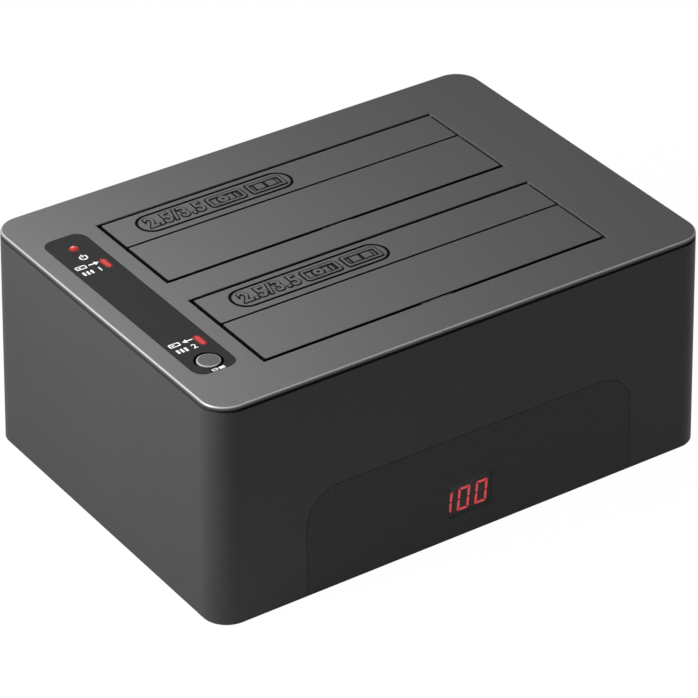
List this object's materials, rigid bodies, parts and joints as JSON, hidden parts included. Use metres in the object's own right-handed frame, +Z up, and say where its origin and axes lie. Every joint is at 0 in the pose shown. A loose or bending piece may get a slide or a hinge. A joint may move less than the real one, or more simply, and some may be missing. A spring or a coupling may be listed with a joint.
{
  "type": "drive duplicator",
  "caption": "Two-bay standing dock that copies one hard drive to another, with sprung bay flaps, copy button, status lamps and a lit number display.",
  "frame": {"origin": "centre of the footprint, on the plane that the feet stand on", "axes": "+X right along the long side seen from the display, +Z up, the display faces -Y"},
  "size_m": [0.1516, 0.1092, 0.0649],
  "materials": {
    "lid_plastic": "fine sand-blasted grain",
    "wall_plastic": "fine satin",
    "base_plastic": "matte",
    "window_plastic": "smoked, satin",
    "strip_film": "satin film",
    "flap_plastic": "fine sand-blasted grain",
    "button_plastic": "fine grain",
    "lamp_red": "lit",
    "digit_red": "lit",
    "steel": "bright",
    "port_steel": "nickel",
    "inner_plastic": "matte",
    "gold_plate": "plated",
    "circuit_board": "solder mask",
    "chip_plastic": "matte",
    "can_aluminium": "plain",
    "foot_rubber": "matte"
  },
  "bodies": {
    "case": {"base_plate": "base_plastic", "base_screws": "steel", "bay_lamp_1": "lamp_red", "bay_lamp_2": "lamp_red", "board_screws": "steel", "capacitors": "can_aluminium", "controller_chips": "chip_plastic", "copy_switch": "inner_plastic", "display_bars": "digit_red", "display_board": "circuit_board", "display_module": "inner_plastic", "drive_socket_1": "inner_plastic", "drive_socket_2": "inner_plastic", "drive_well_1": "inner_plastic", "drive_well_2": "inner_plastic", "front_window": "window_plastic", "hinge_pin_front_1": "steel", "hinge_pin_front_2": "steel", "hinge_pin_rear_1": "steel", "hinge_pin_rear_2": "steel", "housing": "wall_plastic", "indicator_board": "circuit_board", "inlet_pin": "steel", "main_board": "circuit_board", "power_inductors": "chip_plastic", "power_inlet": "inner_plastic", "power_lamp": "lamp_red", "rocker_frame": "inner_plastic", "rubber_feet": "foot_rubber", "socket_contacts_1": "gold_plate", "socket_contacts_2": "gold_plate", "status_strip": "strip_film", "top_cover": "lid_plastic", "usb_shell": "port_steel", "usb_tongue": "inner_plastic", "well_screws": "steel"},
    "rear_lid_1": {"rear_flap_1": "flap_plastic", "return_spring_rear_1": "steel"},
    "front_lid_1": {"front_flap_1": "flap_plastic", "return_spring_front_1": "steel"},
    "rear_lid_2": {"rear_flap_2": "flap_plastic", "return_spring_rear_2": "steel"},
    "front_lid_2": {"front_flap_2": "flap_plastic", "return_spring_front_2": "steel"},
    "copy_button": {"button_cap": "button_plastic", "switch_plunger": "inner_plastic"},
    "rocker": {"power_rocker": "inner_plastic"}
  },
  "joints": [
    {"name": "rear_flap_1_hinge", "type": "hinge", "parent": "case", "child": "rear_lid_1", "pos_m": [0, 0.0357, 0.0626], "axis": [1, 0, 0], "range_deg": [0, 88], "stiffness_Nm_per_rad": 0.004, "springref_deg": -28.65},
    {"name": "front_flap_1_hinge", "type": "hinge", "parent": "case", "child": "front_lid_1", "pos_m": [0, 0.0057, 0.0626], "axis": [-1, 0, 0], "range_deg": [0, 88], "stiffness_Nm_per_rad": 0.008, "springref_deg": -28.65},
    {"name": "rear_flap_2_hinge", "type": "hinge", "parent": "case", "child": "rear_lid_2", "pos_m": [0, -0.0084, 0.0626], "axis": [1, 0, 0], "range_deg": [0, 88], "stiffness_Nm_per_rad": 0.004, "springref_deg": -28.65},
    {"name": "front_flap_2_hinge", "type": "hinge", "parent": "case", "child": "front_lid_2", "pos_m": [0, -0.0384, 0.0626], "axis": [-1, 0, 0], "range_deg": [0, 88], "stiffness_Nm_per_rad": 0.008, "springref_deg": -28.65},
    {"name": "copy_button_press", "type": "slide", "parent": "case", "child": "copy_button", "axis": [0, 0, -1], "range_m": [0, 0.0005], "stiffness_N_per_m": 400, "springref_m": -0.0005},
    {"name": "power_rocker_tilt", "type": "hinge", "parent": "case", "child": "rocker", "pos_m": [0.034, 0.05138, 0.016], "axis": [0, 0, -1], "range_deg": [0, 16]}
  ]
}
